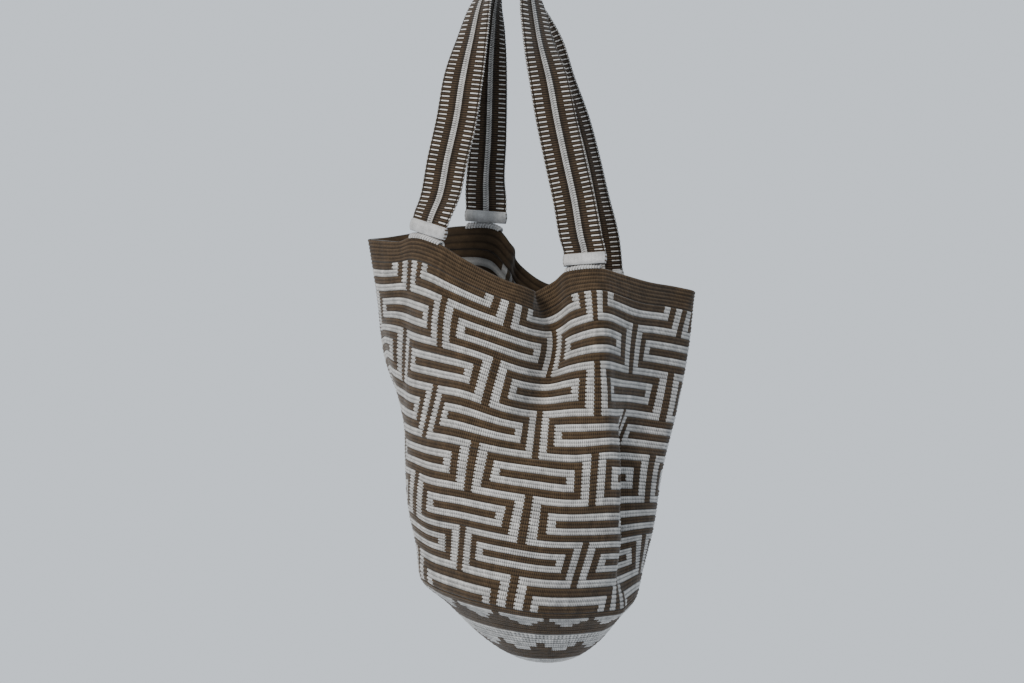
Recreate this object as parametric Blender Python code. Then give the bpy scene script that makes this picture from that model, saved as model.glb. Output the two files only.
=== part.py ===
"""Crocheted bucket bag that hangs from two woven handles.

The bag is crocheted in one piece, from the middle of its base up to its rim. Each handle is a flat
woven strap that runs up from the rim, over whatever it hangs on and back down to the rim. Its two ends
are whipped with pale yarn and sewn to the rim with a short row of stitches.

Metres, +Z up. The origin is the point that the handles hang from, on their undersides. The front of
the bag faces -Y.
"""

import math

import bmesh
import bpy
import numpy as np

MM = 0.001

# The crochet is counted in blocks of its pattern: two stitches wide and two rows tall.
BLOCKS_ROUND = 112.0
RIM_ROW = -3.0
WALL_END_ROW = 43.0
CENTRE_ROW = 61.6
WALL_THICK = 3.0 * MM
WALL_COLUMNS = 96

# Sections of the hanging bag from the rim to the foot of the wall. Each point is a block's place in the
# round, then how far it lies to the right, to the back and above the origin, in millimetres.
SECTIONS = (
    (-3, (
        (-10.6, -114, 6, -215), (-8, -102, -8, -217), (-5, -87, -22, -218), (-2.5, -77, -32, -215),
        (2.3, -54, -46, -222), (6, -36, -50, -233), (11, -7, -50, -248), (15, 12, -50, -255),
        (16.6, 19, -44, -258), (18.2, 19, -34, -258), (20.3, 20, -24, -258), (23, 34, -22, -250),
        (25.8, 44, -32, -242), (28.4, 58, -40, -240), (31, 72, -38, -240), (34, 87, -30, -244),
        (38.5, 111, -13, -250), (43, 133, 6, -253), (46.2, 148, 14, -256), (49, 149, 27, -257),
        (53, 131, 38, -252), (58, 105, 51, -250), (62, 83, 56, -250), (66, 60, 58, -251),
        (71, 31, 56, -249), (75, 12, 51, -237), (77.6, 2, 42, -227), (80, 1, 29, -219),
        (83, -9, 24, -206), (88, -37, 26, -203), (94, -72, 21, -208), (99, -101, 16, -213),
    )),
    (4, (
        (-10.6, -108, 14, -256), (-8, -102, 0, -257), (-3, -82, -22, -257), (0, -72, -35, -260),
        (5, -54, -51, -267), (9.5, -29, -53, -277), (14, 0, -50, -287), (18, 20, -38, -293),
        (21.5, 35, -26, -294), (25.5, 49, -40, -286), (29.5, 66, -53, -281), (32, 75, -50, -281),
        (37.5, 98, -22, -289), (41.5, 116, -5, -291), (45.5, 135, 10, -294), (47.8, 145, 21, -296),
        (52, 140, 42, -294), (58, 108, 61, -288), (64, 72, 67, -281), (71, 31, 67, -283),
        (76, 2, 59, -272), (79.5, -7, 42, -262), (83, -18, 37, -250), (89, -53, 43, -246),
        (95, -85, 38, -250), (99, -103, 27, -256),
    )),
    (14, (
        (-8.5, -100, 32, -310), (-5, -94, 11, -313), (-2.5, -85, 0, -317), (0, -79, -13, -320),
        (5.5, -57, -35, -325), (11, -32, -54, -330), (16, -2, -58, -341), (21.5, 24, -40, -346),
        (27, 52, -56, -343), (31, 75, -56, -343), (34, 83, -40, -344), (38, 93, -21, -345),
        (43, 110, 2, -348), (47.3, 133, 16, -352), (51, 135, 38, -353), (57, 108, 66, -350),
        (64, 67, 78, -348), (71, 25, 80, -341), (76, -3, 67, -331), (79.5, -9, 48, -322),
        (84, -25, 46, -311), (90, -55, 62, -306), (96, -88, 62, -308), (100, -102, 50, -314),
    )),
    (23, (
        (-1, -84, 2, -374), (2.5, -78, -18, -376), (6.5, -65, -37, -379), (11, -45, -53, -382),
        (16, -12, -66, -388), (21.5, 18, -72, -392), (27, 49, -72, -395), (32, 78, -64, -393),
        (33.7, 85, -57, -394), (36, 79, -46, -394), (38.7, 77, -37, -395), (41, 86, -34, -395),
        (43, 97, -29, -396), (47.5, 119, -10, -399), (51.5, 122, 14, -401), (58, 108, 50, -403),
        (65, 73, 74, -403), (72, 30, 88, -398), (79, -12, 90, -386), (83, -27, 74, -377),
        (87, -33, 58, -369), (91, -49, 74, -364), (96, -70, 85, -364), (101, -84, 66, -368),
        (106.5, -85, 32, -374),
    )),
    (32, (
        (4, -79, -21, -422), (8, -65, -42, -429), (13, -38, -62, -433), (19, -7, -78, -438),
        (24, 27, -83, -443), (29.5, 59, -72, -445), (34.6, 84, -54, -446), (36.3, 86, -45, -447),
        (38.5, 79, -35, -447), (41, 86, -27, -447), (43.5, 98, -19, -446), (47.3, 113, -2, -446),
        (51.5, 115, 24, -449), (58, 100, 58, -454), (65, 66, 82, -460), (72, 22, 98, -463),
        (79, -21, 99, -448), (83, -36, 88, -439), (87, -45, 77, -432), (91, -58, 87, -428),
        (96, -76, 93, -427), (101, -83, 72, -427), (106, -84, 42, -430), (111, -82, 11, -424),
    )),
    (43, (
        (7, -67, -20, -486), (9, -60, -30, -489), (14, -39, -53, -494), (19, -16, -69, -498),
        (24, 15, -75, -503), (30, 45, -64, -506), (35, 72, -45, -507), (39, 89, -27, -507),
        (41, 92, -18, -506), (44.5, 100, 0, -502), (49, 103, 26, -503), (55, 100, 59, -505),
        (62, 71, 86, -507), (69, 30, 102, -510), (76, -13, 110, -509), (81, -34, 102, -504),
        (85, -44, 91, -500), (89, -55, 93, -498), (94, -68, 97, -497), (99, -75, 77, -495),
        (105, -71, 48, -495), (111, -69, 14, -489),
    )),
)

# The base narrows from the foot of the wall to its centre: the row, the part of the width that is left,
# the part of the drop that is left and how far the wall's folds have flattened out.
BASE_CENTRE = (32, 18, -557)
HEEL_ROW = 39.5
HEEL_SHARE = 0.62
BASE_RINGS = (
    (47.4, 0.81, 0.73, 0.35), (52.6, 0.54, 0.34, 0.8), (57.5, 0.27, 0.09, 1.0), (CENTRE_ROW, 0.0, 0.0, 1.0),
)

# The rows where the solid bag has an edge loop, closer together where it bends.
WALL_ROWS = (-3, 0.5, 4, 8, 12, 16, 20, 24, 28, 32, 36, 40, 43, 46, 50, 54, 58)

STRAP_WIDE = 33.0 * MM
STRAP_THICK = 2.6 * MM
STRAP_STATIONS = 56
SEW_GAP = 2.8 * MM
SEW_SPREAD = 30.0 * MM
SEW_STRAIGHT = 11.0 * MM

# How each handle runs: the round's blocks where it starts and ends, then points on its middle line in
# millimetres, each with the strap's turn about that line in degrees.
FRONT_HANDLE = (-0.1, 28.4, (
    (-55, -36, -185, -20), (-49, -33, -155, -15), (-42, -29, -123, -14),
    (-37, -25, -91, -18), (-30, -21, -59, -40), (-22, -18, -27, -62), (-15, -16.5, -11, -80),
    (-8, -16.5, -1.5, -90), (0, -16.5, 1.3, -90), (8, -16.5, -1.5, -90), (14.5, -17, -11, -104),
    (17, -18, -27, -122), (22.5, -22, -60, -138), (30.5, -26, -92, -160), (36.5, -30, -124, -168),
    (43, -34, -155, -170), (50, -36, -187, -174), (55, -38, -215, -182),
))
BACK_HANDLE = (85.1, 62.9, (
    (-20, 25, -168, 18), (-18, 22, -134, 26), (-17, 21, -101, 30),
    (-16, 18.5, -69, 38), (-14.5, 17.5, -45, 52), (-12, 17, -21, 72), (-6.5, 17, -3, 90),
    (0, 17, 1.3, 90), (8, 17, -3, 90), (16, 17, -21, 106), (24, 18.5, -37, 118),
    (32, 21, -53, 124), (42, 27, -84, 128), (54, 34, -116, 129), (63, 40, -148, 129),
    (70, 46, -182, 136), (74, 50, -206, 152),
))

WHIPPING_TALL = 9.6 * MM
WHIPPING_LIFT = 0.4 * MM
WHIPPING_WIDE = 35.2 * MM
WHIPPING_THICK = 6.4 * MM
FIT_GAP = 0.3 * MM

STITCH_HALF_SPAN = 2.3
STITCH_THICK = 0.9 * MM
STITCH_REACH = 3.2 * MM
STITCH_CLEAR = 0.4 * MM

BROWN_YARN = (0.075, 0.048, 0.031, 1.0)
PALE_YARN = (0.49, 0.48, 0.46, 1.0)


def clear_scene():
    for thing in list(bpy.data.objects):
        bpy.data.objects.remove(thing, do_unlink=True)


def yarn(name, colour):
    material = bpy.data.materials.new(name)
    material.use_nodes = True
    shader = material.node_tree.nodes["Principled BSDF"]
    shader.inputs["Base Color"].default_value = colour
    shader.inputs["Roughness"].default_value = 0.9
    shader.inputs["Metallic"].default_value = 0.0
    material.diffuse_color = colour
    return material


def solid(name, verts, faces, material):
    """Makes one named closed solid with its faces pointing out."""
    mesh = bpy.data.meshes.new(name)
    mesh.from_pydata([tuple(v) for v in verts], [], faces)
    work = bmesh.new()
    work.from_mesh(mesh)
    bmesh.ops.recalc_face_normals(work, faces=work.faces)
    work.to_mesh(mesh)
    work.free()
    mesh.shade_smooth()
    mesh.materials.append(material)
    thing = bpy.data.objects.new(name, mesh)
    bpy.context.collection.objects.link(thing)
    return thing


def spline(knots, points, wanted, period=0.0):
    """Reads a smooth curve through the points at the wanted knot values. A period closes the curve."""
    knots = np.asarray(knots, dtype=float)
    points = np.asarray(points, dtype=float)
    wanted = np.asarray(wanted, dtype=float)
    if period:
        wanted = (wanted - knots[0]) % period + knots[0]
        knots = np.concatenate((knots[-2:] - period, knots, knots[:2] + period))
        points = np.concatenate((points[-2:], points, points[:2]))
    step = np.diff(knots)
    slope = np.diff(points, axis=0) / step.reshape((-1,) + (1,) * (points.ndim - 1))
    tangent = np.empty_like(points)
    tangent[0] = slope[0]
    tangent[-1] = slope[-1]
    share = (step[1:] / (step[1:] + step[:-1])).reshape((-1,) + (1,) * (points.ndim - 1))
    tangent[1:-1] = slope[:-1] * share + slope[1:] * (1.0 - share)
    place = np.clip(np.searchsorted(knots, wanted, side="right") - 1, 0, len(step) - 1)
    width = step[place].reshape((-1,) + (1,) * (points.ndim - 1))
    t = ((wanted - knots[place]) / step[place]).reshape(width.shape)
    start = (2 * t**3 - 3 * t**2 + 1) * points[place] + (t**3 - 2 * t**2 + t) * width * tangent[place]
    end = (3 * t**2 - 2 * t**3) * points[place + 1] + (t**3 - t**2) * width * tangent[place + 1]
    return start + end


def section_ring(points, blocks):
    """Places round one section of the wall."""
    table = np.array(points)
    return spline(table[:, 0], table[:, 1:] * MM, blocks, BLOCKS_ROUND)


def foot_oval(blocks):
    """The oval that the foot of the wall would make with its folds let out."""
    even = np.arange(BLOCKS_ROUND)
    ring = section_ring(SECTIONS[-1][1], even)
    oval = np.tile(ring.mean(axis=0), (len(blocks), 1))
    for waves in (1, 2):
        turn = math.tau * waves / BLOCKS_ROUND
        for wave in (np.cos, np.sin):
            share = 2.0 * (ring * wave(turn * even)[:, None]).mean(axis=0)
            oval = oval + share * wave(turn * blocks)[:, None]
    return oval


def bag_surface(blocks, rows):
    """Places of the bag's outer face, as one ring of points for each row."""
    rings = [section_ring(points, blocks) for _, points in SECTIONS]
    knots = [row for row, _ in SECTIONS]
    rings.insert(-1, rings[-2] + (rings[-1] - rings[-2]) * HEEL_SHARE)
    knots.insert(-1, HEEL_ROW)
    foot = rings[-1] - np.array(BASE_CENTRE) * MM
    oval = foot_oval(blocks) - np.array(BASE_CENTRE) * MM
    for row, width_left, drop_left, flat in BASE_RINGS:
        left = np.array((width_left, width_left, drop_left))
        rings.append(np.array(BASE_CENTRE) * MM + (foot + (oval - foot) * flat) * left)
        knots.append(row)
    return spline(knots, np.array(rings), rows)


def bag_normals(blocks, rows):
    """Directions that point out of the bag at the same places."""
    reach = 0.5
    along = bag_surface(blocks + reach, rows) - bag_surface(blocks - reach, rows)
    rows = np.asarray(rows, dtype=float)
    above = bag_surface(blocks, np.maximum(rows - reach, RIM_ROW))
    below = bag_surface(blocks, np.minimum(rows + reach, CENTRE_ROW))
    normal = np.cross(below - above, along)
    return normal / np.linalg.norm(normal, axis=2, keepdims=True)


def make_bag(material):
    """The crocheted bag: one open shell, the same thickness all over."""
    blocks = np.arange(WALL_COLUMNS) * BLOCKS_ROUND / WALL_COLUMNS
    outer = bag_surface(blocks, WALL_ROWS)
    inner = outer - bag_normals(blocks, WALL_ROWS) * WALL_THICK
    centre = np.array(BASE_CENTRE) * MM
    verts = list(outer.reshape(-1, 3)) + list(inner.reshape(-1, 3))
    verts.append(centre)
    verts.append(centre + np.array((0.0, 0.0, WALL_THICK)))
    count = len(WALL_ROWS) * WALL_COLUMNS
    faces = []
    for column in range(WALL_COLUMNS):
        beside = (column + 1) % WALL_COLUMNS
        for ring in range(len(WALL_ROWS) - 1):
            top = ring * WALL_COLUMNS
            low = top + WALL_COLUMNS
            faces.append((top + column, low + column, low + beside, top + beside))
            faces.append((count + top + column, count + top + beside, count + low + beside, count + low + column))
        last = count - WALL_COLUMNS
        faces.append((last + column, 2 * count, last + beside))
        faces.append((count + last + column, count + last + beside, 2 * count + 1))
        faces.append((column, beside, count + beside, count + column))
    return solid("bag_body", verts, faces, material)


def rim_place(block):
    """The rim's edge at one block: its middle, the way along it, the way out and the way up."""
    here = np.array((block,))
    edge = bag_surface(here, (RIM_ROW,))[0, 0]
    out = bag_normals(here, (RIM_ROW,))[0, 0]
    along = (bag_surface(here + 0.5, (RIM_ROW,)) - bag_surface(here - 0.5, (RIM_ROW,)))[0, 0]
    along = along / np.linalg.norm(along)
    up = np.cross(out, along)
    up = up if up[2] > 0 else -up
    return edge - out * WALL_THICK / 2, along, out, up / np.linalg.norm(up)


def strap_line(handle):
    """Middle line of a strap: its points and the way that its width lies at each one."""
    first, last, middle = handle
    table = np.array(middle)
    turns = np.radians(table[:, 3])
    widths = np.stack((np.cos(turns), np.sin(turns), np.zeros_like(turns)), axis=1)
    start, start_along, _, start_up = rim_place(first)
    stop, stop_along, _, stop_up = rim_place(last)
    start = start + start_up * SEW_GAP
    stop = stop + stop_up * SEW_GAP
    start_width = start_along * math.copysign(1.0, np.dot(start_along, widths[0]))
    stop_width = stop_along * math.copysign(1.0, np.dot(stop_along, widths[-1]))
    above_start = start + start_up * SEW_STRAIGHT
    above_stop = stop + stop_up * SEW_STRAIGHT
    points = np.concatenate(([start, above_start], table[:, :3] * MM, [above_stop, stop]))
    widths = np.concatenate(([start_width, start_width], widths, [stop_width, stop_width]))
    reach = np.concatenate(([0.0], np.cumsum(np.linalg.norm(np.diff(points, axis=0), axis=1))))
    return reach, points, widths


def strap_frames(handle, distances):
    """Centre, width direction and face direction of a strap at distances along it."""
    reach, points, widths = strap_line(handle)
    total = reach[-1]
    centre = spline(reach, points, distances)
    step = 0.5 * MM
    ahead = spline(reach, points, np.minimum(distances + step, total))
    behind = spline(reach, points, np.maximum(distances - step, 0.0))
    forward = ahead - behind
    forward = forward / np.linalg.norm(forward, axis=1, keepdims=True)
    width = spline(reach, widths, distances)
    square = np.clip((np.minimum(distances, total - distances) - SEW_STRAIGHT) / SEW_SPREAD, 0.0, 1.0)
    width = width - forward * (np.sum(width * forward, axis=1) * square)[:, None]
    width = width / np.linalg.norm(width, axis=1, keepdims=True)
    face = np.cross(width, forward)
    return centre, width, face / np.linalg.norm(face, axis=1, keepdims=True)


def sweep(name, rings, material):
    """Closes a run of equal rings of points into one solid with flat ends."""
    sides = len(rings[0])
    verts = [point for ring in rings for point in ring]
    faces = [tuple(range(sides)), tuple(range(len(verts) - 1, len(verts) - 1 - sides, -1))]
    for ring in range(len(rings) - 1):
        for side in range(sides):
            near = ring * sides + side
            beside = ring * sides + (side + 1) % sides
            faces.append((near, near + sides, beside + sides, beside))
    return solid(name, verts, faces, material)


def whipped_distances():
    """Distances from a strap's end that its whipping covers."""
    return WHIPPING_LIFT + WHIPPING_TALL * np.linspace(0.0, 1.0, 4)


def make_handle(name, handle, material):
    total = strap_line(handle)[0][-1]
    ends = whipped_distances()
    middle = np.linspace(ends[-1], total - ends[-1], STRAP_STATIONS)[1:-1]
    distances = np.concatenate(([0.0], ends, middle, total - ends[::-1], [total]))
    centre, width, face = strap_frames(handle, distances)
    half = STRAP_WIDE / 2
    deep = STRAP_THICK / 2
    corners = ((-half, -deep), (half, -deep), (half, deep), (-half, deep))
    rings = [[c + w * a + f * b for a, b in corners] for c, w, f in zip(centre, width, face)]
    return sweep(name, rings, material)


def make_whipping(name, handle, from_start, material):
    """The pale yarn wound round a strap's end: a short flat sleeve."""
    distances = whipped_distances()
    distances = distances if from_start else strap_line(handle)[0][-1] - distances[::-1]
    centre, width, face = strap_frames(handle, distances)
    corners = ((-1, -1), (1, -1), (1, 1), (-1, 1))
    outer = (WHIPPING_WIDE / 2, WHIPPING_THICK / 2)
    hole = (STRAP_WIDE / 2 + FIT_GAP, STRAP_THICK / 2 + FIT_GAP)
    verts = []
    for c, w, f in zip(centre, width, face):
        for wide, thick in (outer, hole):
            verts.extend(c + w * a * wide + f * b * thick for a, b in corners)
    stations = len(distances)
    faces = []
    for side in range(4):
        beside = (side + 1) % 4
        for station in range(stations - 1):
            near = station * 8
            far = near + 8
            faces.append((near + side, near + beside, far + beside, far + side))
            faces.append((near + 4 + side, far + 4 + side, far + 4 + beside, near + 4 + beside))
        end = (stations - 1) * 8
        faces.append((side, 4 + side, 4 + beside, beside))
        faces.append((end + side, end + beside, end + 4 + beside, end + 4 + side))
    return solid(name, verts, faces, material)


def make_stitches(name, block, material):
    """The row of stitches under a strap's end: a saddle of yarn over the rim's edge."""
    clear = STITCH_CLEAR
    thick = STITCH_THICK
    half = WALL_THICK / 2
    profile = (
        (half + clear + thick, -STITCH_REACH), (half + clear + thick, clear / 2 + thick),
        (-half - clear - thick, clear / 2 + thick), (-half - clear - thick, -STITCH_REACH),
        (-half - clear, -STITCH_REACH), (-half - clear, clear / 2),
        (half + clear, clear / 2), (half + clear, -STITCH_REACH),
    )
    rings = []
    for place in np.linspace(block - STITCH_HALF_SPAN, block + STITCH_HALF_SPAN, 9):
        middle, _, out, up = rim_place(place)
        rings.append([middle + out * a + up * b for a, b in profile])
    return sweep(name, rings, material)


def main():
    clear_scene()
    brown = yarn("brown_yarn", BROWN_YARN)
    pale = yarn("pale_yarn", PALE_YARN)
    strap = yarn("strap_yarn", BROWN_YARN)
    make_bag(brown)
    for side, handle in (("front", FRONT_HANDLE), ("back", BACK_HANDLE)):
        make_handle("handle_" + side, handle, strap)
        for end, at_start in (("left", True), ("right", False)):
            block = handle[0] if at_start else handle[1]
            make_whipping("whipping_" + side + "_" + end, handle, at_start, pale)
            make_stitches("seam_stitches_" + side + "_" + end, block, pale)


main()
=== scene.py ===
import math

import bpy
import numpy as np
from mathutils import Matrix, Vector


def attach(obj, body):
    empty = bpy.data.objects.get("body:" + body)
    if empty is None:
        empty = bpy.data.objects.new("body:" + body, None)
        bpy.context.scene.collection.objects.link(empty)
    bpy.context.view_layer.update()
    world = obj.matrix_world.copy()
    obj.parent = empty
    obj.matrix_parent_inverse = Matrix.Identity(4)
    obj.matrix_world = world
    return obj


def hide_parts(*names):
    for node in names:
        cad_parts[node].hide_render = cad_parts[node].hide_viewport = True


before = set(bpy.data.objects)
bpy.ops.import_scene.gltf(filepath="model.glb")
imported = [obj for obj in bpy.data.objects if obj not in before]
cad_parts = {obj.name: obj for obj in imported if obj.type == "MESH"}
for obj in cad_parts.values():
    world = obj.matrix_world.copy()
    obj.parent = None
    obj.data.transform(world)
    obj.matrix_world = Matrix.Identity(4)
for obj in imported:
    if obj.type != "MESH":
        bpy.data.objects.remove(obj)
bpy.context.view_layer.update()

# The crocheted bag, made in one piece from the centre of its base up to its rim, in dark brown cotton
# with the pale pattern yarn carried inside the stitches. It is counted in blocks of the pattern, two
# stitches wide and two rows tall, 112 round. It hangs empty, so its wall falls in soft upright folds.
MM = 0.001
BLOCKS_ROUND = 112
RIM_ROW = -3.0
FOOT_ROW = 43.0
CENTRE_ROW = 61.6
WALL_THICK = 3.0 * MM

# Sections of the bag from the rim down to the foot of the wall: block round the bag, then X, Y and Z in
# millimetres.
SECTIONS = (
    (-3, (
        (-10.6, -114, 6, -215), (-8, -102, -8, -217), (-5, -87, -22, -218), (-2.5, -77, -32, -215),
        (2.3, -54, -46, -222), (6, -36, -50, -233), (11, -7, -50, -248), (15, 12, -50, -255),
        (16.6, 19, -44, -258), (18.2, 19, -34, -258), (20.3, 20, -24, -258), (23, 34, -22, -250),
        (25.8, 44, -32, -242), (28.4, 58, -40, -240), (31, 72, -38, -240), (34, 87, -30, -244),
        (38.5, 111, -13, -250), (43, 133, 6, -253), (46.2, 148, 14, -256), (49, 149, 27, -257),
        (53, 131, 38, -252), (58, 105, 51, -250), (62, 83, 56, -250), (66, 60, 58, -251),
        (71, 31, 56, -249), (75, 12, 51, -237), (77.6, 2, 42, -227), (80, 1, 29, -219),
        (83, -9, 24, -206), (88, -37, 26, -203), (94, -72, 21, -208), (99, -101, 16, -213),
    )),
    (4, (
        (-10.6, -108, 14, -256), (-8, -102, 0, -257), (-3, -82, -22, -257), (0, -72, -35, -260),
        (5, -54, -51, -267), (9.5, -29, -53, -277), (14, 0, -50, -287), (18, 20, -38, -293),
        (21.5, 35, -26, -294), (25.5, 49, -40, -286), (29.5, 66, -53, -281), (32, 75, -50, -281),
        (37.5, 98, -22, -289), (41.5, 116, -5, -291), (45.5, 135, 10, -294), (47.8, 145, 21, -296),
        (52, 140, 42, -294), (58, 108, 61, -288), (64, 72, 67, -281), (71, 31, 67, -283),
        (76, 2, 59, -272), (79.5, -7, 42, -262), (83, -18, 37, -250), (89, -53, 43, -246),
        (95, -85, 38, -250), (99, -103, 27, -256),
    )),
    (14, (
        (-8.5, -100, 32, -310), (-5, -94, 11, -313), (-2.5, -85, 0, -317), (0, -79, -13, -320),
        (5.5, -57, -35, -325), (11, -32, -54, -330), (16, -2, -58, -341), (21.5, 24, -40, -346),
        (27, 52, -56, -343), (31, 75, -56, -343), (34, 83, -40, -344), (38, 93, -21, -345),
        (43, 110, 2, -348), (47.3, 133, 16, -352), (51, 135, 38, -353), (57, 108, 66, -350),
        (64, 67, 78, -348), (71, 25, 80, -341), (76, -3, 67, -331), (79.5, -9, 48, -322),
        (84, -25, 46, -311), (90, -55, 62, -306), (96, -88, 62, -308), (100, -102, 50, -314),
    )),
    (23, (
        (-1, -84, 2, -374), (2.5, -78, -18, -376), (6.5, -65, -37, -379), (11, -45, -53, -382),
        (16, -12, -66, -388), (21.5, 18, -72, -392), (27, 49, -72, -395), (32, 78, -64, -393),
        (33.7, 85, -57, -394), (36, 79, -46, -394), (38.7, 77, -37, -395), (41, 86, -34, -395),
        (43, 97, -29, -396), (47.5, 119, -10, -399), (51.5, 122, 14, -401), (58, 108, 50, -403),
        (65, 73, 74, -403), (72, 30, 88, -398), (79, -12, 90, -386), (83, -27, 74, -377),
        (87, -33, 58, -369), (91, -49, 74, -364), (96, -70, 85, -364), (101, -84, 66, -368),
        (106.5, -85, 32, -374),
    )),
    (32, (
        (4, -79, -21, -422), (8, -65, -42, -429), (13, -38, -62, -433), (19, -7, -78, -438),
        (24, 27, -83, -443), (29.5, 59, -72, -445), (34.6, 84, -54, -446), (36.3, 86, -45, -447),
        (38.5, 79, -35, -447), (41, 86, -27, -447), (43.5, 98, -19, -446), (47.3, 113, -2, -446),
        (51.5, 115, 24, -449), (58, 100, 58, -454), (65, 66, 82, -460), (72, 22, 98, -463),
        (79, -21, 99, -448), (83, -36, 88, -439), (87, -45, 77, -432), (91, -58, 87, -428),
        (96, -76, 93, -427), (101, -83, 72, -427), (106, -84, 42, -430), (111, -82, 11, -424),
    )),
    (43, (
        (7, -67, -20, -486), (9, -60, -30, -489), (14, -39, -53, -494), (19, -16, -69, -498),
        (24, 15, -75, -503), (30, 45, -64, -506), (35, 72, -45, -507), (39, 89, -27, -507),
        (41, 92, -18, -506), (44.5, 100, 0, -502), (49, 103, 26, -503), (55, 100, 59, -505),
        (62, 71, 86, -507), (69, 30, 102, -510), (76, -13, 110, -509), (81, -34, 102, -504),
        (85, -44, 91, -500), (89, -55, 93, -498), (94, -68, 97, -497), (99, -75, 77, -495),
        (105, -71, 48, -495), (111, -69, 14, -489),
    )),
)
BASE_CENTRE = np.array((32, 18, -557)) * MM
HEEL_ROW = 39.5
HEEL_SHARE = 0.62
BASE_RINGS = (
    (47.4, 0.81, 0.73, 0.35), (52.6, 0.54, 0.34, 0.8), (57.5, 0.27, 0.09, 1.0), (CENTRE_ROW, 0.0, 0.0, 1.0),
)

# One row of blocks, cut into steps: how far down each step is, how much of the raised bar, of the
# upright legs and of the sunk groove it has, and how far its colour change leans sideways.
ROW_STEPS = np.array((
    (0.00, 0.0, 0.15, 1.0, 0.0), (0.13, 1.0, 0.25, 0.0, 0.0), (0.30, 0.1, 1.0, 0.0, -0.125),
    (0.50, 0.0, 0.45, 0.6, 0.0), (0.63, 0.45, 0.35, 0.0, 0.0), (0.80, 0.0, 1.0, 0.0, -0.125),
))
SECOND_BAR_STEP = 4
RIM_SECOND_BAR = 1.0
INNER_COLUMNS = 2
BAR_RISE = 0.45 * MM
LEG_RISE = 0.36 * MM
GROOVE_DEEP = 0.32 * MM
STITCH_UNEVEN = 0.25 * MM
INNER_RISE = 0.35
LAST_STEP_SHORT = 0.05
BAND_GAP = 0.004
CHART_EDGE = 0.01
CHART_ACROSS = 0.98
OUTER_CHART = (0.98, 0.7)
INNER_CHART = (0.25, 0.22)


def spline(knots, points, wanted, period=0.0):
    """A smooth curve through the points, read at the wanted knot values. A period closes the curve."""
    knots = np.asarray(knots, dtype=float)
    points = np.asarray(points, dtype=float)
    wanted = np.asarray(wanted, dtype=float)
    if period:
        wanted = (wanted - knots[0]) % period + knots[0]
        knots = np.concatenate((knots[-2:] - period, knots, knots[:2] + period))
        points = np.concatenate((points[-2:], points, points[:2]))
    step = np.diff(knots)
    slope = np.diff(points, axis=0) / step.reshape((-1,) + (1,) * (points.ndim - 1))
    tangent = np.empty_like(points)
    tangent[0] = slope[0]
    tangent[-1] = slope[-1]
    share = (step[1:] / (step[1:] + step[:-1])).reshape((-1,) + (1,) * (points.ndim - 1))
    tangent[1:-1] = slope[:-1] * share + slope[1:] * (1.0 - share)
    place = np.clip(np.searchsorted(knots, wanted, side="right") - 1, 0, len(step) - 1)
    width = step[place].reshape((-1,) + (1,) * (points.ndim - 1))
    t = ((wanted - knots[place]) / step[place]).reshape(width.shape)
    start = (2 * t**3 - 3 * t**2 + 1) * points[place] + (t**3 - 2 * t**2 + t) * width * tangent[place]
    end = (3 * t**2 - 2 * t**3) * points[place + 1] + (t**3 - t**2) * width * tangent[place + 1]
    return start + end


def section_ring(points, blocks):
    """Places round one section of the wall."""
    table = np.array(points)
    return spline(table[:, 0], table[:, 1:] * MM, blocks, BLOCKS_ROUND)


def bag_rings(blocks):
    """The knots of the bag's rows, with a ring of points for each."""
    rings = [section_ring(points, blocks) for _, points in SECTIONS]
    knots = [row for row, _ in SECTIONS]
    even = np.arange(BLOCKS_ROUND)
    ring = section_ring(SECTIONS[-1][1], even)
    oval = np.tile(ring.mean(axis=0), (len(blocks), 1))
    for waves in (1, 2):
        turn = math.tau * waves / BLOCKS_ROUND
        for wave in (np.cos, np.sin):
            share = 2.0 * (ring * wave(turn * even)[:, None]).mean(axis=0)
            oval = oval + share * wave(turn * blocks)[:, None]
    rings.insert(-1, rings[-2] + (rings[-1] - rings[-2]) * HEEL_SHARE)
    knots.insert(-1, HEEL_ROW)
    foot = rings[-1] - BASE_CENTRE
    oval = oval - BASE_CENTRE
    for row, width_left, drop_left, flat in BASE_RINGS:
        left = np.array((width_left, width_left, drop_left))
        rings.append(BASE_CENTRE + (foot + (oval - foot) * flat) * left)
        knots.append(row)
    return knots, np.array(rings)


def bag_grid(blocks, rows):
    """Places and outward directions on the bag's outer face, for every row and block."""
    # Directions at the centre of the base are read half a row out from it, where a row still has length.
    knots, rings = bag_rings(blocks)
    place = spline(knots, rings, rows)
    lower = spline(knots, rings, np.minimum(rows + 0.5, CENTRE_ROW - 0.01))
    upper = spline(knots, rings, np.maximum(np.minimum(rows, CENTRE_ROW - 0.6) - 0.5, RIM_ROW))
    ahead = spline(knots, bag_rings(blocks + 0.5)[1], np.minimum(rows, CENTRE_ROW - 0.5))
    behind = spline(knots, bag_rings(blocks - 0.5)[1], np.minimum(rows, CENTRE_ROW - 0.5))
    normal = np.cross(lower - upper, ahead - behind)
    normal = normal / np.linalg.norm(normal, axis=2, keepdims=True)
    return place, normal


def stitches_round(row):
    """Blocks in one row of crochet: all of them on the wall, fewer and fewer towards the base's centre."""
    left = (CENTRE_ROW - np.asarray(row, dtype=float)) / (CENTRE_ROW - FOOT_ROW)
    return np.maximum(np.round(BLOCKS_ROUND * np.clip(left, 0.0, 1.0)), 6.0)


def pale_wall(column, row):
    """Where the wall's stitches are pale: stepped bars with notches between, shifting half a repeat."""
    step = (row + 2) % 6
    shift = (row + 2) // 6
    along = (column + 8 * shift) % 16
    pale = np.isin(step, (1, 3)) & (along < 11)
    pale |= (step == 2) & np.isin(along, (0, 10))
    pale |= (step < 5) & np.isin(along, (12, 14))
    pale = np.where(step == 5, column % 8 != 5, pale)
    return pale & (row >= 0)


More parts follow.
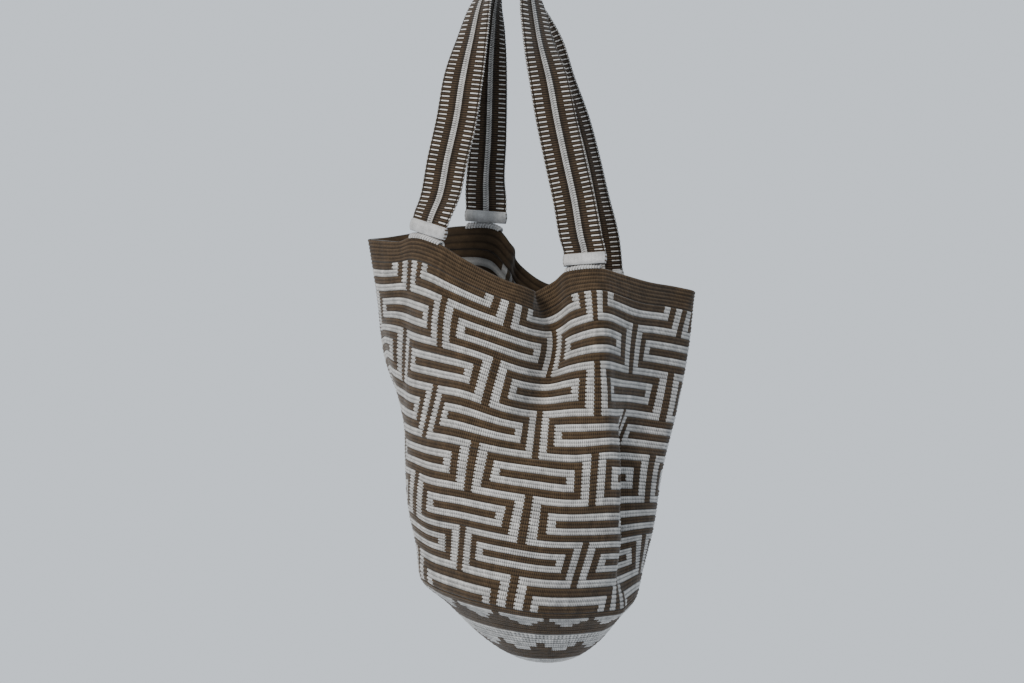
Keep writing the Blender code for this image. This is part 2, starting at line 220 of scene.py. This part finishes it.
BASE_TEETH = 16
BASE_TEETH_TURN = 0.13
LONG_TEETH = 12
LONG_TEETH_TURN = 0.3


def pale_base(column, row):
    """Where the base's stitches are pale: a ring of stepped teeth, a ring with longer teeth and a disc."""
    tooth = (column * BASE_TEETH / BLOCKS_ROUND + BASE_TEETH_TURN) % 1.0
    off = np.abs(tooth - 3.0 / 7.0) * 2.0
    down = row - FOOT_ROW
    pale = (down >= 1.5) & (down < 4.5) & (off < 6.0 / 7.0 - np.floor(down - 1.5) * 2.0 / 7.0)
    long_tooth = np.abs((column * LONG_TEETH / BLOCKS_ROUND + LONG_TEETH_TURN) % 1.0 - 0.5) * 2.0
    pale |= (down >= 6.5) & (down < 8.5)
    pale |= (down >= 8.5) & (down < 10.5) & (long_tooth < 0.8 - np.floor((down - 8.5) * 2.0) * 0.2)
    return pale | (down >= 12.8)


def yarn_shade(row, column):
    """Slow and quick changes of tone from stitch to stitch."""
    wave = np.sin(row * 12.9898 + column * 78.233) * 43758.5453
    return wave - np.floor(wave)


def band_rows(top, bottom, steps, end):
    """The rows of points in a band: each block's steps, and then the band's lower end."""
    rows = [row + step for row in range(math.floor(top), math.ceil(bottom)) for step in steps]
    return np.array([row for row in rows if top <= row < bottom - LAST_STEP_SHORT] + [end])


def ring_faces(start, ring, count, outward):
    """Four-cornered faces from one ring of points to the next, turned to face out or in."""
    near = start + ring * count + np.arange(count)
    beside = start + ring * count + (np.arange(count) + 1) % count
    if outward:
        return np.stack((near, near + count, beside + count, beside), axis=1)
    return np.stack((near, beside, beside + count, near + count), axis=1)


def ring_chart(ring, high, count, chart, outward):
    """The same faces laid out flat, one strip of the chart for each ring."""
    edge, tall = chart
    upper = np.full(count, edge - tall * ring / (high - 1))
    lower = np.full(count, edge - tall * (ring + 1) / (high - 1))
    left = CHART_EDGE + CHART_ACROSS * np.arange(count) / count
    right = CHART_EDGE + CHART_ACROSS * (np.arange(count) + 1) / count
    if outward:
        return np.stack((left, upper, left, lower, right, lower, right, upper), axis=1)
    return np.stack((left, upper, right, upper, right, lower, left, lower), axis=1)


def outer_face(rows, columns):
    """The outside of a band: its points, their painted shade (darker in the grooves, with some random
    tone), and where its faces are pale.
    """
    count = BLOCKS_ROUND * columns
    blocks = np.arange(count) / columns
    kind = np.argmin(np.abs((rows % 1.0)[:, None] - ROW_STEPS[None, :, 0]), axis=1)
    kind[-1] = 0
    bar = ROW_STEPS[kind, 1]
    bar = np.where((rows < 0.0) & (kind == SECOND_BAR_STEP), RIM_SECOND_BAR, bar)[:, None]
    legs = ROW_STEPS[kind, 2][:, None]
    groove = ROW_STEPS[kind, 3][:, None]
    place, normal = bag_grid(blocks, rows)

    # Each stitch has a bead along its raised bar and two legs, and no two stitches are quite alike.
    number = np.where(rows > FOOT_ROW, stitches_round(np.floor(rows)), BLOCKS_ROUND)
    phase = blocks[None, :] * number[:, None] / BLOCKS_ROUND
    leg = np.cos(math.tau * 4.0 * phase)
    bead = 0.5 - 0.5 * np.cos(math.tau * 2.0 * phase)
    lift = bar * BAR_RISE * (0.7 + 0.3 * bead) + legs * LEG_RISE * leg - groove * GROOVE_DEEP
    uneven = yarn_shade(np.floor(rows)[:, None], np.floor(phase * 2.0)) - 0.5
    lift = lift + uneven * STITCH_UNEVEN * (1.0 - groove)
    points = place + normal * lift[:, :, None]
    # Painted shade: darker down in the grooves and between the legs, lighter on bars and legs, with a
    # little random tone per stitch.
    painted_shade = np.clip(0.55 + 0.3 * bar + 0.5 * legs * leg - 0.45 * groove + 0.2 * uneven, 0.0, 1.0)

    # The colour changes between stitches, and the legs carry it a little to one side.
    middle = (np.arange(count) + 0.5) / columns
    lean = ROW_STEPS[kind[:-1], 4][:, None]
    column = np.floor(middle[None, :] + lean) % BLOCKS_ROUND
    line = np.floor((rows[:-1] + rows[1:]) / 2)[:, None] + np.zeros((1, count))
    wall = pale_wall(column.astype(int), line.astype(int))
    base = pale_base(middle[None, :] + lean, line + 0.5)
    return points, painted_shade, np.where(line >= FOOT_ROW, base, wall)


def inner_face(rows):
    """The inside of a band, plainer: its points, their painted shade (darker all over and along the rows),
    and where its faces are pale.
    """
    count = BLOCKS_ROUND * INNER_COLUMNS
    place, normal = bag_grid(np.arange(count) / INNER_COLUMNS, rows)
    on_row = np.abs(rows - np.round(rows)) < 0.2
    lift = np.where(on_row, -INNER_RISE, INNER_RISE) * MM
    points = place - normal * (WALL_THICK + lift[:, None, None])
    # Painted shade: the inside is darker all over, and darkest along each row.
    painted_shade = np.repeat(np.where(on_row, 0.25, 0.6), count)
    middle = (np.arange(count) + 0.5) / INNER_COLUMNS
    pale = []
    for line in np.floor((rows[:-1] + rows[1:]) / 2).astype(int):
        if line >= FOOT_ROW:
            pale.append(pale_base(middle, np.full(count, line + 0.5)))
        else:
            pale.append(pale_wall(np.floor(middle).astype(int), np.full(count, line)))
    return points, painted_shade, np.array(pale)


def band_edges(count, high, inner_high):
    """Small faces that close a band's upper and lower edge, one for each inner stitch."""
    inner_count = BLOCKS_ROUND * INNER_COLUMNS
    ratio = count // inner_count
    faces = []
    for outer_ring, inner_ring, flip in ((0, 0, False), (high - 1, inner_high - 1, True)):
        for stitch in range(inner_count):
            outside = [outer_ring * count + (stitch * ratio + part) % count for part in range(ratio + 1)]
            inside = high * count + inner_ring * inner_count + stitch
            beside = high * count + inner_ring * inner_count + (stitch + 1) % inner_count
            loop = outside + [beside, inside]
            faces.append(loop[::-1] if flip else loop)
    return np.array(faces)


def crochet_band(name, top, bottom, columns, inner_steps):
    """One band of the bag between two rows, outside and inside, with its stitches standing up."""
    rows = band_rows(top, bottom, ROW_STEPS[:, 0], min(bottom, CENTRE_ROW) - BAND_GAP)
    inner_rows = band_rows(top, bottom, inner_steps, rows[-1])
    outer, outer_painted_shade, outer_pale = outer_face(rows, columns)
    inner, inner_painted_shade, inner_pale = inner_face(inner_rows)
    high, inner_high = len(rows), len(inner_rows)
    count, inner_count = BLOCKS_ROUND * columns, BLOCKS_ROUND * INNER_COLUMNS
    faces, charts = [], []
    for ring in range(high - 1):
        faces.append(ring_faces(0, ring, count, True))
        charts.append(ring_chart(ring, high, count, OUTER_CHART, True))
    for ring in range(inner_high - 1):
        faces.append(ring_faces(high * count, ring, inner_count, False))
        charts.append(ring_chart(ring, inner_high, inner_count, INNER_CHART, False))
    faces = np.concatenate(faces)
    edges = band_edges(count, high, inner_high)

    mesh = bpy.data.meshes.new(name)
    verts = np.concatenate((outer.reshape(-1), inner.reshape(-1)))
    corners = np.concatenate((faces.reshape(-1), edges.reshape(-1)))
    sizes = np.concatenate((np.full(len(faces), 4), np.full(len(edges), edges.shape[1])))
    mesh.vertices.add(len(verts) // 3)
    mesh.vertices.foreach_set("co", verts)
    mesh.loops.add(len(corners))
    mesh.loops.foreach_set("vertex_index", corners)
    mesh.polygons.add(len(sizes))
    mesh.polygons.foreach_set("loop_start", np.concatenate(([0], np.cumsum(sizes)[:-1])))
    mesh.polygons.foreach_set("loop_total", sizes)
    mesh.update(calc_edges=True)
    uv = mesh.uv_layers.new(name="OFBake")
    spare = np.tile(np.array((0.5, 0.005)), edges.size)
    uv.data.foreach_set("uv", np.concatenate((np.concatenate(charts).reshape(-1), spare)))
    tint = mesh.attributes.new("pale", "FLOAT", "FACE")
    pale = np.concatenate((outer_pale.reshape(-1), inner_pale.reshape(-1), np.zeros(len(edges))))
    tint.data.foreach_set("value", pale.astype(float))
    # The 'height' attribute holds painted shade for the material.
    painted_shade = mesh.attributes.new("height", "FLOAT", "POINT")
    painted_shade.data.foreach_set("value", np.concatenate((outer_painted_shade.reshape(-1), inner_painted_shade)))
    mesh.shade_smooth()
    mesh.set_sharp_from_angle(angle=math.radians(85))
    thing = bpy.data.objects.new(name, mesh)
    bpy.context.collection.objects.link(thing)
    return thing


def noise(tree, where, scale):
    """A noise of the given fineness, in the object's own space."""
    grain = tree.nodes.new("ShaderNodeTexNoise")
    grain.inputs["Scale"].default_value = scale
    grain.inputs["Detail"].default_value = 2.0
    tree.links.new(where.outputs["Object"], grain.inputs["Vector"])
    return grain


def ranged(tree, source, low, high, to_low, to_high):
    """A value moved from one range to another."""
    change = tree.nodes.new("ShaderNodeMapRange")
    change.inputs["From Min"].default_value = low
    change.inputs["From Max"].default_value = high
    change.inputs["To Min"].default_value = to_low
    change.inputs["To Max"].default_value = to_high
    tree.links.new(source, change.inputs["Value"])
    return change.outputs["Result"]


def times(tree, first, second):
    """The product of two values."""
    product = tree.nodes.new("ShaderNodeMath")
    product.operation = "MULTIPLY"
    tree.links.new(first, product.inputs[0])
    tree.links.new(second, product.inputs[1])
    return product.outputs["Value"]


def yarn_material(name, brown, pale, fibre=1500.0):
    """Spun cotton: two yarn colours, with painted shade down between the stitches and painted light on
    raised yarn, fine fibres and fuzz.
    """
    material = bpy.data.materials.new(name)
    material.use_nodes = True
    tree = material.node_tree
    node, link = tree.nodes.new, tree.links.new
    shader = tree.nodes["Principled BSDF"]
    shader.inputs["Roughness"].default_value = 0.88
    shader.inputs["Sheen Weight"].default_value = 0.25
    shader.inputs["Sheen Roughness"].default_value = 0.5
    shader.inputs["Specular IOR Level"].default_value = 0.15
    where = node("ShaderNodeTexCoord")
    tint = node("ShaderNodeAttribute")
    tint.attribute_name = "pale"
    # The 'height' attribute brings in painted shade: it darkens grooves and lightens raised yarn.
    high = node("ShaderNodeAttribute")
    high.attribute_name = "height"
    both = node("ShaderNodeMix")
    both.data_type = "RGBA"
    both.inputs["A"].default_value = (*brown, 1.0)
    both.inputs["B"].default_value = (*pale, 1.0)
    link(tint.outputs["Fac"], both.inputs["Factor"])
    fine = noise(tree, where, fibre)
    broad = noise(tree, where, 130.0)
    light = ranged(tree, broad.outputs["Fac"], 0.3, 0.7, 0.78, 1.2)
    speck = ranged(tree, fine.outputs["Fac"], 0.3, 0.7, 0.8, 1.15)
    # Painted shade and painted light, multiplied into the yarn colour with the random tone.
    painted_groove_shade = ranged(tree, high.outputs["Fac"], 0.1, 0.9, 0.22, 1.25)
    shade = times(tree, times(tree, light, speck), painted_groove_shade)
    tone = node("ShaderNodeVectorMath")
    tone.operation = "SCALE"
    link(both.outputs["Result"], tone.inputs["Vector"])
    link(shade, tone.inputs["Scale"])
    link(tone.outputs["Vector"], shader.inputs["Base Color"])
    bump = node("ShaderNodeBump")
    bump.inputs["Strength"].default_value = 0.35
    bump.inputs["Distance"].default_value = 0.4 * MM
    link(fine.outputs["Fac"], bump.inputs["Height"])
    link(bump.outputs["Normal"], shader.inputs["Normal"])
    return material


BROWN = (0.075, 0.048, 0.026)
PALE = (0.54, 0.52, 0.495)
crochet = yarn_material("crochet_yarn", BROWN, PALE)
bands = (
    ("bag_rim", RIM_ROW, 0.0, 8, (0.0, 0.25, 0.5, 0.75)), ("bag_wall_top", 0.0, 11.0, 8, (0.0, 0.5)),
    ("bag_wall_upper", 11.0, 22.0, 8, (0.0,)), ("bag_wall_middle", 22.0, 33.0, 8, (0.0,)),
    ("bag_wall_lower", 33.0, FOOT_ROW, 8, (0.0,)), ("bag_base_edge", FOOT_ROW, 49.0, 8, (0.0,)),
    ("bag_base_centre", 49.0, CENTRE_ROW, 4, (0.0,)),
)
for name, top, bottom, columns, inner_steps in bands:
    band = crochet_band(name, top, bottom, columns, inner_steps)
    band.data.materials.append(crochet)
    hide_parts("bag_body")
    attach(band, "root")

# The two carrying straps, each a flat band woven in brown with fine cross ribs. Pale warp shows as a
# stripe of two columns down the middle, as dashes along both sides and as loops on the selvedges. Each
# runs up from the rim, over the support and down to the rim again.
STRAP_WIDE = 33.0 * MM
STRAP_THICK = 2.6 * MM
SEW_GAP = 2.8 * MM
SEW_SPREAD = 30.0 * MM
SEW_STRAIGHT = 11.0 * MM
RIB = 1.875 * MM
FRONT_HANDLE = (-0.1, 28.4, (
    (-55, -36, -185, -20), (-49, -33, -155, -15), (-42, -29, -123, -14),
    (-37, -25, -91, -18), (-30, -21, -59, -40), (-22, -18, -27, -62), (-15, -16.5, -11, -80),
    (-8, -16.5, -1.5, -90), (0, -16.5, 1.3, -90), (8, -16.5, -1.5, -90), (14.5, -17, -11, -104),
    (17, -18, -27, -122), (22.5, -22, -60, -138), (30.5, -26, -92, -160), (36.5, -30, -124, -168),
    (43, -34, -155, -170), (50, -36, -187, -174), (55, -38, -215, -182),
))
BACK_HANDLE = (85.1, 62.9, (
    (-20, 25, -168, 18), (-18, 22, -134, 26), (-17, 21, -101, 30),
    (-16, 18.5, -69, 38), (-14.5, 17.5, -45, 52), (-12, 17, -21, 72), (-6.5, 17, -3, 90),
    (0, 17, 1.3, 90), (8, 17, -3, 90), (16, 17, -21, 106), (24, 18.5, -37, 118),
    (32, 21, -53, 124), (42, 27, -84, 128), (54, 34, -116, 129), (63, 40, -148, 129),
    (70, 46, -182, 136), (74, 50, -206, 152),
))


def rim_place(block):
    """The rim's edge at one block: its middle, the way along it, the way out and the way up."""
    here = np.array((float(block),))
    place, normal = bag_grid(here, np.array((RIM_ROW,)))
    edge, out = place[0, 0], normal[0, 0]
    ahead = bag_grid(here + 0.5, np.array((RIM_ROW,)))[0][0, 0]
    behind = bag_grid(here - 0.5, np.array((RIM_ROW,)))[0][0, 0]
    along = (ahead - behind) / np.linalg.norm(ahead - behind)
    up = np.cross(out, along)
    up = up if up[2] > 0 else -up
    return edge - out * WALL_THICK / 2, along, out, up / np.linalg.norm(up)


def strap_line(handle):
    """Middle line of a strap: its points and the way that its width lies at each one."""
    first, last, middle = handle
    table = np.array(middle)
    turns = np.radians(table[:, 3])
    widths = np.stack((np.cos(turns), np.sin(turns), np.zeros_like(turns)), axis=1)
    start, start_along, _, start_up = rim_place(first)
    stop, stop_along, _, stop_up = rim_place(last)
    start = start + start_up * SEW_GAP
    stop = stop + stop_up * SEW_GAP
    start_width = start_along * math.copysign(1.0, np.dot(start_along, widths[0]))
    stop_width = stop_along * math.copysign(1.0, np.dot(stop_along, widths[-1]))
    above_start = start + start_up * SEW_STRAIGHT
    above_stop = stop + stop_up * SEW_STRAIGHT
    points = np.concatenate(([start, above_start], table[:, :3] * MM, [above_stop, stop]))
    widths = np.concatenate(([start_width, start_width], widths, [stop_width, stop_width]))
    reach = np.concatenate(([0.0], np.cumsum(np.linalg.norm(np.diff(points, axis=0), axis=1))))
    return reach, points, widths


def strap_frames(handle, distances):
    """Centre, width direction and face direction of a strap at distances along it."""
    reach, points, widths = strap_line(handle)
    total = reach[-1]
    centre = spline(reach, points, distances)
    step = 0.5 * MM
    ahead = spline(reach, points, np.minimum(distances + step, total))
    behind = spline(reach, points, np.maximum(distances - step, 0.0))
    forward = ahead - behind
    forward = forward / np.linalg.norm(forward, axis=1, keepdims=True)
    width = spline(reach, widths, distances)
    square = np.clip((np.minimum(distances, total - distances) - SEW_STRAIGHT) / SEW_SPREAD, 0.0, 1.0)
    width = width - forward * (np.sum(width * forward, axis=1) * square)[:, None]
    width = width / np.linalg.norm(width, axis=1, keepdims=True)
    face = np.cross(width, forward)
    return centre, width, face / np.linalg.norm(face, axis=1, keepdims=True)


def tube_mesh(name, rings, closed_ends, pale, height, material):
    """A skin of quads over rings of points that each close on themselves."""
    rings = np.asarray(rings)
    high, round_count = rings.shape[:2]
    quads = [ring_faces(0, ring, round_count, True) for ring in range(high - 1)]
    quads = np.concatenate(quads).tolist()
    ends = [list(range(round_count))[::-1], [(high - 1) * round_count + i for i in range(round_count)]]
    mesh = bpy.data.meshes.new(name)
    mesh.from_pydata(rings.reshape(-1, 3).tolist(), [], quads + (ends if closed_ends else []))
    uv = mesh.uv_layers.new(name="OFBake")
    u = 0.02 + 0.96 * np.arange(round_count + 1) / round_count
    v = 0.02 + 0.94 * np.arange(high) / (high - 1)
    left, low = np.meshgrid(u[:-1], v[:-1])
    right, up = np.meshgrid(u[1:], v[1:])
    corners = np.stack((left, low, left, up, right, up, right, low), axis=2).reshape(-1, 2)
    spare = np.full((2 * round_count if closed_ends else 0, 2), 0.99)
    uv.data.foreach_set("uv", np.concatenate((corners, spare)).reshape(-1))
    tint = mesh.attributes.new("pale", "FLOAT", "FACE")
    end_tints = np.zeros(2 if closed_ends else 0)
    tint.data.foreach_set("value", np.concatenate((np.asarray(pale, float).reshape(-1), end_tints)))
    # The 'height' attribute holds painted shade for the material.
    painted_shade = mesh.attributes.new("height", "FLOAT", "POINT")
    painted_shade.data.foreach_set("value", np.asarray(height, float).reshape(-1))
    mesh.shade_smooth()
    mesh.materials.append(material)
    thing = bpy.data.objects.new(name, mesh)
    bpy.context.collection.objects.link(thing)
    return thing


# Places across the strap where one colour or column of the weave ends, in millimetres from its middle.
HALF_LINES = (0.0, 1.2, 2.3, 2.6, 5.4, 8.3, 8.8, 11.8, 14.3, 14.8, 15.8, 16.5)
DASH_FROM, DASH_TO = 8.3, 14.8
STRIPE_TO = 2.3
SELVEDGE_FROM = 15.8
EDGE_LINE = 16.4
RIB_STEPS = 4
STRIPE_RISE, DASH_RISE, GROUND_RISE = 0.5, 0.6, 0.42


def woven_strap(name, handle, material):
    """The ribbed band with its pale warp standing a little proud of the brown ground."""
    total = strap_line(handle)[0][-1]
    ribs = round(total / RIB)
    distances = np.linspace(0.0, total, ribs * RIB_STEPS + 1)
    centre, width, face = strap_frames(handle, distances)
    across = np.array([-x for x in HALF_LINES[:0:-1]] + list(HALF_LINES)) * MM
    rib = np.floor(np.arange(len(distances)) / RIB_STEPS).astype(int)
    swell = 0.5 - 0.5 * np.cos(math.tau * np.arange(len(distances)) / RIB_STEPS)
    side = np.abs(across) / MM
    odd = (rib % 2 == 0)[:, None]
    on_dash = (side > DASH_FROM + 0.1) & (side < DASH_TO - 0.1)
    on_stripe = side < STRIPE_TO - 0.1
    gutter = np.isclose(side, 0.0) * 0.12 + np.isclose(side, 2.6) * 0.25 + np.isclose(side, 14.8) * 0.2
    brick = on_stripe & (across > 0.0)
    swell_across = np.where(brick[None, :], 1.0 - swell[:, None], swell[:, None])
    ground = np.where(on_stripe, STRIPE_RISE, GROUND_RISE)
    rise = swell_across * np.where(on_dash[None, :] & odd, DASH_RISE, ground)
    rise = rise - gutter[None, :]
    out = np.where(side >= EDGE_LINE, 1.0, 0.0)[None, :] * np.where(odd, 0.5, 0.0) * swell[:, None]
    deep = STRAP_THICK / 2 - 0.45 * MM
    shaped = across[None, :] + np.sign(across)[None, :] * out * MM
    round_off = np.where(side >= EDGE_LINE, 0.55, np.where(side > SELVEDGE_FROM - 0.1, 0.2, 0.0))
    round_off = round_off[None, :] * MM
    top = deep + rise * MM - round_off
    c, w, f = centre[:, None, :], width[:, None, :], face[:, None, :]
    front = c + w * shaped[:, :, None] + f * top[:, :, None]
    back = c + w * shaped[:, ::-1, None] - f * top[:, ::-1, None]
    rings = np.concatenate((front, back), axis=1)
    middle = (across[:-1] + across[1:]) / 2 / MM
    piece = rib[:-1]
    even_rib = (piece % 2 == 0)[:, None]
    mid = np.abs(middle)[None, :]
    crown = np.isin(np.arange(len(piece)) % RIB_STEPS, (1, 2))[:, None]
    pale = ((mid > DASH_FROM) & (mid < DASH_TO) & even_rib & crown) | (mid < STRIPE_TO)
    pale = pale | ((mid > SELVEDGE_FROM) & even_rib)
    edge = crown[:, 0]
    skin = np.concatenate((pale, edge[:, None], pale[:, ::-1], edge[:, None]), axis=1)
    # Painted shade: darker down in the rib grooves and gutters, lighter on the ribs' crowns.
    height = 0.02 + 2.0 * rise
    height = np.concatenate((height, height[:, ::-1]), axis=1)
    return tube_mesh(name, rings, True, skin, height, material), total


STRAP_BROWN = (0.064, 0.041, 0.023)
strap_yarn = yarn_material("strap_yarn", STRAP_BROWN, PALE, 1800.0)
handles = {}
for side, handle in (("front", FRONT_HANDLE), ("back", BACK_HANDLE)):
    strap, length = woven_strap("strap_" + side, handle, strap_yarn)
    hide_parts("handle_" + side)
    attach(strap, "root")
    handles[side] = (strap, handle, length)

# Each strap end is rolled up and bound with pale yarn. The yarn goes over and over the roll, from the
# strap down to the rim, so its threads lie side by side across the strap's whole width.
WHIPPING_TALL = 9.6 * MM
WHIPPING_LIFT = 0.2 * MM
WHIPPING_WIDE = 35.2 * MM
WHIPPING_THICK = 3.4 * MM
ROLL_SWELL = 2.1 * MM
ROLL_CORNER = 1.6 * MM
ROLL_RINGS = 19
THREADS = 34
THREAD_STEPS = 4
THREAD_RISE = 0.3 * MM
THREAD_UNEVEN = 0.12 * MM
FLECK_FROM = 0.955


def whipping(name, handle, total, at_start, material):
    """A rounded roll of yarn threads round the strap's end, open for the strap to pass through."""
    along = 0.5 - 0.5 * np.cos(np.linspace(0.0, math.pi, ROLL_RINGS))
    distances = WHIPPING_LIFT + WHIPPING_TALL * along
    distances = distances if at_start else total - distances[::-1]
    centre, width, face = strap_frames(handle, distances)
    across = np.linspace(-1.0, 1.0, THREADS * THREAD_STEPS + 1)
    places = np.concatenate((across, across[-2:0:-1]))
    sides = np.concatenate((np.ones(len(across)), -np.ones(len(across) - 2)))
    round_end = np.sqrt(np.clip(1.0 - np.abs(places) ** 9, 0.0, 1.0))
    thread = (places + 1.0) / 2 * THREADS
    thread = thread[None, :] + 0.22 * np.sin(along * 3.1 + 0.4)[:, None] * sides[None, :]
    swell = np.sqrt(np.clip(1.0 - ((thread % 1.0) * 2.0 - 1.0) ** 2, 0.0, 1.0))
    uneven = THREAD_UNEVEN * np.sin(np.floor(thread) * 2.4)
    ends = np.sqrt(np.clip(1.0 - (along * 2.0 - 1.0) ** 2, 0.0, 1.0))[:, None]
    wide = (WHIPPING_WIDE / 2 - ROLL_CORNER) + ROLL_CORNER * ends
    deep = WHIPPING_THICK / 2 + ROLL_SWELL * ends + THREAD_RISE * swell + uneven * ends
    rings = (
        centre[:, None, :]
        + width[:, None, :] * (wide * places[None, :])[:, :, None]
        + face[:, None, :] * (deep * (sides * round_end)[None, :])[:, :, None]
    )
    hole = (STRAP_WIDE / 2 + 0.4 * MM, STRAP_THICK / 2 + 0.1 * MM)
    inside = (
        centre[:, None, :]
        + width[:, None, :] * (hole[0] * places)[None, :, None]
        + face[:, None, :] * (hole[1] * sides * round_end)[None, :, None]
    )
    loop = np.concatenate((rings, inside[[-1, 0]], rings[:1]))
    pale = np.ones((len(loop) - 1, len(places)))
    pale[::4, np.abs(places) > FLECK_FROM] = 0.0
    pale[1::4, np.abs(places) > FLECK_FROM] = 0.0
    # Painted shade: darker between the threads and on the inner faces of the roll.
    low = np.full((2, len(places)), 0.3)
    height = np.concatenate((0.25 + 0.75 * swell, low, 0.25 + 0.75 * swell[:1]))
    return tube_mesh(name, loop, False, pale, height, material)


WOUND_PALE = (0.44, 0.43, 0.42)
wound_yarn = yarn_material("wound_yarn", BROWN, WOUND_PALE, 1800.0)
wound_shader = wound_yarn.node_tree.nodes["Principled BSDF"]
wound_shader.inputs["Roughness"].default_value = 0.5
wound_shader.inputs["Specular IOR Level"].default_value = 0.4
for side, (strap, handle, total) in handles.items():
    for end, at_start in (("left", True), ("right", False)):
        band = whipping("winding_" + side + "_" + end, handle, total, at_start, wound_yarn)
        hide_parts("whipping_" + side + "_" + end)
        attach(band, "root")

# Below each whipping the strap is sewn to the rim with a row of pale yarn loops over the rim's edge.
STITCH_HALF_SPAN = 2.3
STITCHES = 13
STITCH_REACH = WALL_THICK / 2 + 0.75 * MM
STITCH_RISE = 2.1 * MM
STITCH_LEAN = 3.4 * MM
STITCH_TAIL = 0.06
TAIL_FALL = 18.0 * MM
YARN_THICK = 2.0 * MM
YARN_SIDES = 8


def rim_loop(block):
    """The path of one sewing stitch: up one side of the rim, over its edge and down the other."""
    middle, along, out, up = rim_place(block)
    path = []
    for angle in np.linspace(-STITCH_TAIL, 1.0 + STITCH_TAIL, 15):
        turn = math.pi * min(max(angle, 0.0), 1.0)
        fall = (max(-angle, 0.0) + max(angle - 1.0, 0.0)) * TAIL_FALL
        height = math.sin(turn) * STITCH_RISE - fall
        sideways = (angle - 0.5) * STITCH_LEAN
        path.append(middle + out * math.cos(turn) * STITCH_REACH + up * height + along * sideways)
    return path


def yarn_path(path, radius):
    """Rings of points round a path of yarn."""
    path = np.array(path)
    forward = np.gradient(path, axis=0)
    forward = forward / np.linalg.norm(forward, axis=1, keepdims=True)
    guide = np.cross(forward, path[-1] - path[0])
    guide = guide / np.linalg.norm(guide, axis=1, keepdims=True)
    other = np.cross(forward, guide)
    turn = np.linspace(0.0, math.tau, YARN_SIDES, endpoint=False)[None, :, None]
    ring = guide[:, None, :] * np.cos(turn) + other[:, None, :] * np.sin(turn)
    return path[:, None, :] + ring * radius


def join(name, things):
    """One object from several."""
    with bpy.context.temp_override(active_object=things[0], selected_editable_objects=things):
        bpy.ops.object.join()
    things[0].name = name
    return things[0]


for side, (strap, handle, total) in handles.items():
    for end, block in (("left", handle[0]), ("right", handle[1])):
        loops = []
        for place in np.linspace(block - STITCH_HALF_SPAN, block + STITCH_HALF_SPAN, STITCHES):
            rings = yarn_path(rim_loop(place), YARN_THICK / 2)
            pale = np.ones((len(rings) - 1, YARN_SIDES))
            # The painted-shade value is held even along the loops.
            height = np.full((len(rings), YARN_SIDES), 0.8)
            loops.append(tube_mesh("stitch", rings, True, pale, height, wound_yarn))
        sewing = join("rim_loops_" + side + "_" + end, loops)
        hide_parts("seam_stitches_" + side + "_" + end)
        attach(sewing, "root")

# A plain pale studio: a wide floor well below the hanging bag, and soft light from the front left.
bpy.ops.mesh.primitive_plane_add(size=8.0, location=(0.0, 0.0, -1.6))
floor = bpy.context.object
floor.name = "studio_floor"
floor_paint = bpy.data.materials.new("studio_floor")
floor_paint.use_nodes = True
floor_shader = floor_paint.node_tree.nodes["Principled BSDF"]
floor_shader.inputs["Base Color"].default_value = (0.9, 0.93, 0.97, 1.0)
floor_shader.inputs["Roughness"].default_value = 0.8
floor.data.materials.append(floor_paint)

# The sky is a little brighter to look at than it is as a light, so that the folds keep their shadows.
world = bpy.data.worlds.new("studio")
bpy.context.scene.world = world
world.use_nodes = True
sky = world.node_tree.nodes["Background"]
sky.inputs["Color"].default_value = (0.80, 0.87, 0.95, 1.0)
seen = world.node_tree.nodes.new("ShaderNodeLightPath")
brighter = world.node_tree.nodes.new("ShaderNodeMapRange")
brighter.inputs["To Min"].default_value = 0.7
brighter.inputs["To Max"].default_value = 1.0
world.node_tree.links.new(seen.outputs["Is Camera Ray"], brighter.inputs["Value"])
world.node_tree.links.new(brighter.outputs["Result"], sky.inputs["Strength"])


def soft_light(name, place, size, power, colour):
    """A large square lamp that points at the middle of the bag."""
    lamp = bpy.data.lights.new(name, "AREA")
    lamp.size = size
    lamp.energy = power
    lamp.color = colour
    thing = bpy.data.objects.new(name, lamp)
    bpy.context.collection.objects.link(thing)
    thing.location = place
    thing.rotation_euler = (Vector(BAG_MIDDLE) - Vector(place)).to_track_quat("-Z", "Y").to_euler()


BAG_MIDDLE = (0.0, 0.0, -0.33)
soft_light("key", (-1.05, -1.7, 0.7), 0.7, 40.0, (1.0, 0.97, 0.92))
soft_light("fill", (1.5, -1.2, 0.1), 1.2, 1.5, (0.85, 0.92, 1.0))

# The camera looks straight ahead from 1.5 m in front, level with the middle of the hanging bag.
camera = bpy.data.cameras.new("camera")
camera.sensor_width = 36.0
camera.lens = 65.918
camera.dof.use_dof = False
eye = bpy.data.objects.new("camera", camera)
bpy.context.collection.objects.link(eye)
eye.location = (0.0016, -1.5, -0.2972)
eye.rotation_euler = (math.radians(90.0), 0.0, 0.0)
bpy.context.scene.camera = eye
